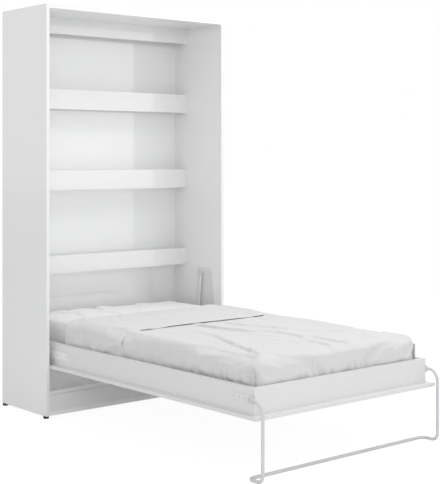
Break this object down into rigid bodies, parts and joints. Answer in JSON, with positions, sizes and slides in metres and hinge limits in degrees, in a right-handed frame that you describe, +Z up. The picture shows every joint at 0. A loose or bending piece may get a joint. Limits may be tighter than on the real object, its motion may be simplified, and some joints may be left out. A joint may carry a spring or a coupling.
{
  "type": "wall bed",
  "caption": "Vertical wall bed: white single bed hinged at the foot of a tall shallow cabinet, with a fold-out tube leg and bedding.",
  "frame": {"origin": "on the floor, under the middle of the outer box of the bed in its lowered position", "axes": "+X across the bed, to the right of a person facing the cabinet; +Y to the wall; +Z up"},
  "size_m": [1.218, 2.1814, 2.2],
  "materials": {
    "board_white": "chipboard with white high-gloss foil",
    "panel_white": "chipboard with white satin foil",
    "timber": "planed pine and beech plywood",
    "steel_white": "white powder coat, satin",
    "steel_zinc": "zinc plated",
    "strut_grey": "light grey paint, satin",
    "rod_chrome": "polished",
    "plastic_black": "matt",
    "plastic_grey": "matt",
    "mattress_cloth": "woven cotton sheet over foam",
    "duvet_cloth": "woven white cotton"
  },
  "bodies": {
    "cabinet": {"side_panel_left": "board_white", "side_panel_right": "board_white", "top_panel": "board_white", "base_panel": "panel_white", "back_panel": "board_white", "cross_rail_top": "board_white", "cross_rail_upper": "board_white", "cross_rail_middle": "board_white", "cross_rail_lower": "board_white", "plinth_board": "panel_white", "plinth_strip": "panel_white", "cabinet_feet": "plastic_black", "cam_locks": "steel_zinc", "wall_bracket_left": "steel_zinc", "wall_bracket_right": "steel_zinc", "mechanism_plate_left": "steel_white", "mechanism_plate_right": "steel_white", "pivot_pin_left": "steel_zinc", "pivot_pin_right": "steel_zinc", "upper_strut_studs": "steel_zinc", "mechanism_screws": "steel_zinc"},
    "bed": {"front_panel": "board_white", "side_board_left": "panel_white", "side_board_right": "panel_white", "foot_board": "panel_white", "head_board": "panel_white", "slat_ledge_left": "timber", "slat_ledge_right": "timber", "centre_rail": "timber", "slats": "timber", "bed_bracket_left": "steel_white", "bed_bracket_right": "steel_white", "pivot_bushes": "plastic_grey", "lower_strut_studs": "steel_zinc", "bed_bracket_screws": "steel_zinc", "leg_bracket_left": "steel_white", "leg_bracket_right": "steel_white", "leg_bracket_screws": "steel_zinc", "leg_pivot_pins": "steel_zinc", "leg_stop_pins": "steel_zinc", "mattress_stops": "steel_white", "mattress": "mattress_cloth", "duvet": "duvet_cloth"},
    "leg": {"leg_frame": "steel_white"},
    "left_strut_tube": {"strut_tube_left": "strut_grey"},
    "right_strut_tube": {"strut_tube_right": "strut_grey"},
    "left_strut_rod": {"strut_rod_left": "rod_chrome"},
    "right_strut_rod": {"strut_rod_right": "rod_chrome"}
  },
  "joints": [
    {"name": "bed_fold", "type": "hinge", "parent": "cabinet", "child": "bed", "pos_m": [0, 0.71675, 0.363], "axis": [-1, 0, 0], "range_deg": [0, 90]},
    {"name": "leg_fold", "type": "hinge", "parent": "bed", "child": "leg", "pos_m": [0, -1.00325, 0.349], "axis": [-1, 0, 0], "range_deg": [0, 239]},
    {"name": "left_strut_swing", "type": "hinge", "parent": "cabinet", "child": "left_strut_tube", "pos_m": [-0.5678, 0.78975, 0.68], "axis": [-1, 0, 0], "range_deg": [0, 14.2]},
    {"name": "right_strut_swing", "type": "hinge", "parent": "cabinet", "child": "right_strut_tube", "pos_m": [0.5678, 0.78975, 0.68], "axis": [-1, 0, 0], "range_deg": [0, 14.2]},
    {"name": "left_strut_stroke", "type": "slide", "parent": "left_strut_tube", "child": "left_strut_rod", "axis": [0, 0.1178, -0.993], "range_m": [0, 0.1295]},
    {"name": "right_strut_stroke", "type": "slide", "parent": "right_strut_tube", "child": "right_strut_rod", "axis": [0, 0.1178, -0.993], "range_m": [0, 0.1295]}
  ],
  "couplings": [
    {"joint": "left_strut_swing", "follows": "bed_fold", "ratio": 0.15539},
    {"joint": "right_strut_swing", "follows": "bed_fold", "ratio": 0.15539},
    {"joint": "left_strut_stroke", "follows": "bed_fold", "m_per_rad": 0.081961},
    {"joint": "right_strut_stroke", "follows": "bed_fold", "m_per_rad": 0.081961}
  ]
}
